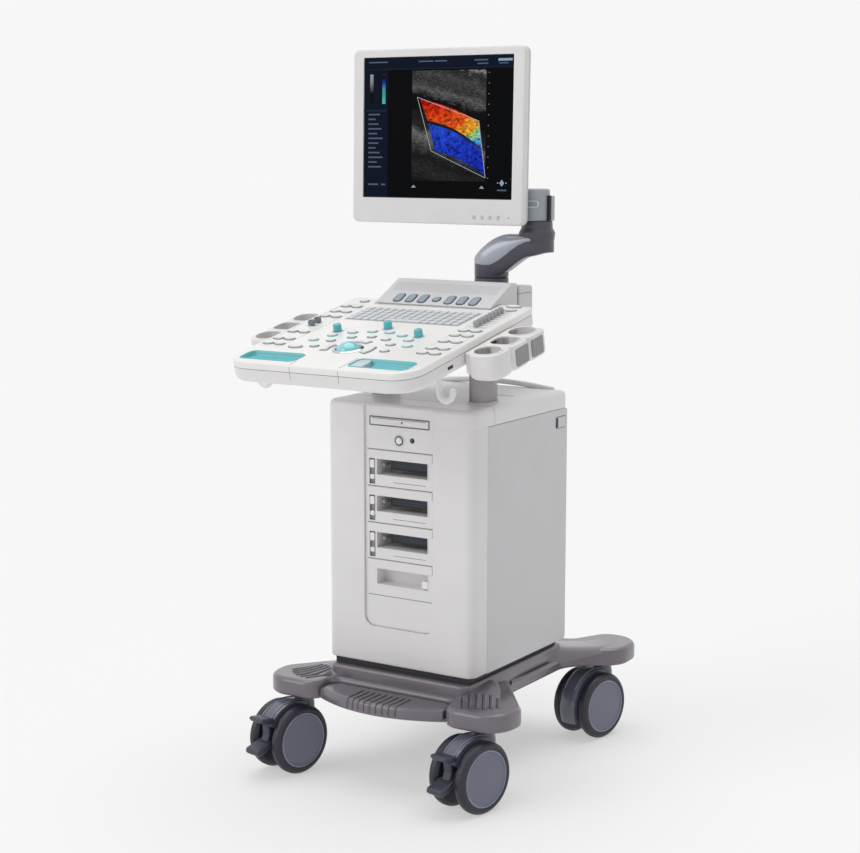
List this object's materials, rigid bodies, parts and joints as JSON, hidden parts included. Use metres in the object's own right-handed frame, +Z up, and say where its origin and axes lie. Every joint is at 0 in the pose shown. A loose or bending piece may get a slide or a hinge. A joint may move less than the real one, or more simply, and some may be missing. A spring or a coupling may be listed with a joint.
{
  "type": "trolley ultrasound system",
  "caption": "Trolley ultrasound machine: caster base, electronics cabinet, tilted control console with trackball and probe holders, and a flat monitor on a jointed swivel arm.",
  "frame": {"origin": "on the floor under the middle of the machine's bounding box", "axes": "+Z up, the operator stands at -Y facing +Y, +X to the operator's right"},
  "size_m": [0.56, 0.796, 1.3456],
  "materials": {
    "cover_ivory": "fine satin texture",
    "panel_grey": "fine satin texture",
    "deck_white": "smooth satin",
    "base_taupe": "semi-gloss moulded cover",
    "trim_black": "matt",
    "arm_charcoal": "satin",
    "arm_silver": "satin anodised",
    "teal_trim": "semi-gloss",
    "tyre": "matt",
    "fork_grey": "satin",
    "cap_grey": "satin",
    "inner_steel": "plain sheet",
    "unit_case": "plain sheet",
    "screen_glass": "semi-gloss dark"
  },
  "bodies": {
    "machine": {"base_frame": "base_taupe", "footrest": "base_taupe", "floor_pan": "trim_black", "front_cover": "cover_ivory", "side_panel_left": "panel_grey", "side_panel_right": "panel_grey", "rear_panel": "panel_grey", "top_cover": "cover_ivory", "front_fascia": "cover_ivory", "probe_socket_board": "trim_black", "chassis_frame": "inner_steel", "power_supply": "unit_case", "computer_unit": "unit_case", "fan_frame": "trim_black", "power_inlet": "trim_black", "post_frame": "arm_silver", "console_carriage": "cover_ivory", "console_tray": "cover_ivory", "console_deck": "deck_white", "palm_rest_left": "teal_trim", "palm_rest_right": "teal_trim", "trackball_ring": "arm_silver", "speaker_panel": "panel_grey", "rear_housing": "panel_grey", "probe_holder_right": "cover_ivory", "probe_holder_left": "cover_ivory", "cable_hook_right": "cover_ivory", "cable_hook_left": "cover_ivory"},
    "caster_front_left": {"caster_fork_front_left": "fork_grey"},
    "wheels_front_left": {"caster_wheels_front_left": "tyre"},
    "pedal_front_left": {"brake_pedal_front_left": "trim_black"},
    "caster_front_right": {"caster_fork_front_right": "fork_grey"},
    "wheels_front_right": {"caster_wheels_front_right": "tyre"},
    "pedal_front_right": {"brake_pedal_front_right": "trim_black"},
    "caster_rear_left": {"caster_fork_rear_left": "fork_grey"},
    "wheels_rear_left": {"caster_wheels_rear_left": "tyre"},
    "caster_rear_right": {"caster_fork_rear_right": "fork_grey"},
    "wheels_rear_right": {"caster_wheels_rear_right": "tyre"},
    "disc_tray": {"disc_tray": "cover_ivory"},
    "power_button": {"power_button": "arm_silver"},
    "fan_rotor": {"fan_rotor": "trim_black"},
    "mains_switch": {"mains_switch": "trim_black"},
    "keys_left": {"keys_left": "panel_grey"},
    "keys_right": {"keys_right": "panel_grey"},
    "menu_keys": {"menu_keys": "panel_grey"},
    "trackball_keys": {"trackball_keys": "panel_grey"},
    "keyboard": {"keyboard": "panel_grey"},
    "speaker_keys": {"speaker_keys": "cap_grey"},
    "trackball": {"trackball": "teal_trim"},
    "knob_left": {"knob_left": "teal_trim"},
    "knob_middle": {"knob_middle": "teal_trim"},
    "knob_right": {"knob_right": "teal_trim"},
    "tgc_sliders": {"tgc_sliders": "cap_grey"},
    "arm_lower": {"arm_lower": "arm_charcoal"},
    "arm_upper": {"arm_upper": "arm_silver"},
    "tilt_head": {"tilt_head": "arm_charcoal"},
    "monitor": {"monitor_bezel": "cover_ivory", "monitor_back": "cover_ivory", "lcd_panel": "screen_glass"},
    "monitor_keys": {"monitor_keys": "arm_silver"}
  },
  "joints": [
    {"name": "swivel_front_left", "type": "hinge", "parent": "machine", "child": "caster_front_left", "pos_m": [-0.184, -0.16443, 0.15], "axis": [0, 0, 1], "continuous": true},
    {"name": "spin_front_left", "type": "hinge", "parent": "caster_front_left", "child": "wheels_front_left", "pos_m": [-0.19211, -0.20258, 0.065], "axis": [0.9781, -0.2079, 0], "continuous": true},
    {"name": "brake_front_left", "type": "hinge", "parent": "caster_front_left", "child": "pedal_front_left", "pos_m": [-0.20167, -0.24758, 0.089], "axis": [0.9781, -0.2079, 0], "range_deg": [0, 10]},
    {"name": "swivel_front_right", "type": "hinge", "parent": "machine", "child": "caster_front_right", "pos_m": [0.214, -0.16443, 0.15], "axis": [0, 0, 1], "continuous": true},
    {"name": "spin_front_right", "type": "hinge", "parent": "caster_front_right", "child": "wheels_front_right", "pos_m": [0.20589, -0.20258, 0.065], "axis": [0.9781, -0.2079, 0], "continuous": true},
    {"name": "brake_front_right", "type": "hinge", "parent": "caster_front_right", "child": "pedal_front_right", "pos_m": [0.19633, -0.24758, 0.089], "axis": [0.9781, -0.2079, 0], "range_deg": [0, 10]},
    {"name": "swivel_rear_left", "type": "hinge", "parent": "machine", "child": "caster_rear_left", "pos_m": [-0.164, 0.32657, 0.15], "axis": [0, 0, 1], "continuous": true},
    {"name": "spin_rear_left", "type": "hinge", "parent": "caster_rear_left", "child": "wheels_rear_left", "pos_m": [-0.17211, 0.28842, 0.065], "axis": [0.9781, -0.2079, 0], "continuous": true},
    {"name": "swivel_rear_right", "type": "hinge", "parent": "machine", "child": "caster_rear_right", "pos_m": [0.194, 0.32657, 0.15], "axis": [0, 0, 1], "continuous": true},
    {"name": "spin_rear_right", "type": "hinge", "parent": "caster_rear_right", "child": "wheels_rear_right", "pos_m": [0.18589, 0.28842, 0.065], "axis": [0.9781, -0.2079, 0], "continuous": true},
    {"name": "disc_tray_slide", "type": "slide", "parent": "machine", "child": "disc_tray", "axis": [0, -1, 0], "range_m": [0, 0.13]},
    {"name": "power_button_press", "type": "slide", "parent": "machine", "child": "power_button", "axis": [0, 1, 0], "range_m": [0, 0.002], "stiffness_N_per_m": 400, "springref_m": -0.002},
    {"name": "fan_spin", "type": "hinge", "parent": "machine", "child": "fan_rotor", "pos_m": [0.077, 0.18957, 0.549], "axis": [0, 1, 0], "continuous": true},
    {"name": "mains_rocker", "type": "hinge", "parent": "machine", "child": "mains_switch", "pos_m": [0.007, 0.19957, 0.251], "axis": [1, 0, 0], "range_deg": [0, 10]},
    {"name": "keys_left_press", "type": "slide", "parent": "machine", "child": "keys_left", "axis": [0, 0.1942, -0.981], "range_m": [0, 0.0015], "stiffness_N_per_m": 800, "springref_m": -0.003},
    {"name": "keys_right_press", "type": "slide", "parent": "machine", "child": "keys_right", "axis": [0, 0.1942, -0.981], "range_m": [0, 0.0015], "stiffness_N_per_m": 800, "springref_m": -0.003},
    {"name": "menu_keys_press", "type": "slide", "parent": "machine", "child": "menu_keys", "axis": [0, 0.1942, -0.981], "range_m": [0, 0.0015], "stiffness_N_per_m": 800, "springref_m": -0.003},
    {"name": "trackball_keys_press", "type": "slide", "parent": "machine", "child": "trackball_keys", "axis": [0, 0.1942, -0.981], "range_m": [0, 0.0015], "stiffness_N_per_m": 800, "springref_m": -0.003},
    {"name": "keyboard_press", "type": "slide", "parent": "machine", "child": "keyboard", "axis": [0, 0.1942, -0.981], "range_m": [0, 0.0015], "stiffness_N_per_m": 800, "springref_m": -0.003},
    {"name": "speaker_keys_press", "type": "slide", "parent": "machine", "child": "speaker_keys", "axis": [0, 0.465, -0.8853], "range_m": [0, 0.0012], "stiffness_N_per_m": 800, "springref_m": -0.003},
    {"name": "trackball_roll", "type": "hinge", "parent": "machine", "child": "trackball", "pos_m": [0.015, -0.29231, 0.8058], "axis": [1, 0, 0], "continuous": true},
    {"name": "knob_left_turn", "type": "hinge", "parent": "machine", "child": "knob_left", "pos_m": [-0.07093, -0.20406, 0.83449], "axis": [0, -0.1942, 0.981], "continuous": true},
    {"name": "knob_middle_turn", "type": "hinge", "parent": "machine", "child": "knob_middle", "pos_m": [0.015, -0.17085, 0.84106], "axis": [0, -0.1942, 0.981], "continuous": true},
    {"name": "knob_right_turn", "type": "hinge", "parent": "machine", "child": "knob_right", "pos_m": [0.10093, -0.20406, 0.83449], "axis": [0, -0.1942, 0.981], "continuous": true},
    {"name": "tgc_slide", "type": "slide", "parent": "machine", "child": "tgc_sliders", "axis": [1, 0, 0], "range_m": [-0.012, 0.012]},
    {"name": "arm_base_swivel", "type": "hinge", "parent": "machine", "child": "arm_lower", "pos_m": [0.015, 0.18657, 0.949], "axis": [0, 0, 1], "range_deg": [-90, 90]},
    {"name": "elbow_swivel", "type": "hinge", "parent": "arm_lower", "child": "arm_upper", "pos_m": [0.101, 0.21057, 1.017], "axis": [0, 0, 1], "range_deg": [-120, 120]},
    {"name": "monitor_pan", "type": "hinge", "parent": "arm_upper", "child": "tilt_head", "pos_m": [-0.0865, 0.25657, 1.084], "axis": [0, 0, 1], "range_deg": [-75, 0]},
    {"name": "monitor_tilt", "type": "hinge", "parent": "tilt_head", "child": "monitor", "pos_m": [-0.0865, 0.21457, 1.175], "axis": [1, 0, 0], "range_deg": [-20, 2]},
    {"name": "monitor_keys_press", "type": "slide", "parent": "monitor", "child": "monitor_keys", "axis": [0, 0.9997, -0.0244], "range_m": [0, 0.0008], "stiffness_N_per_m": 400, "springref_m": -0.002}
  ]
}
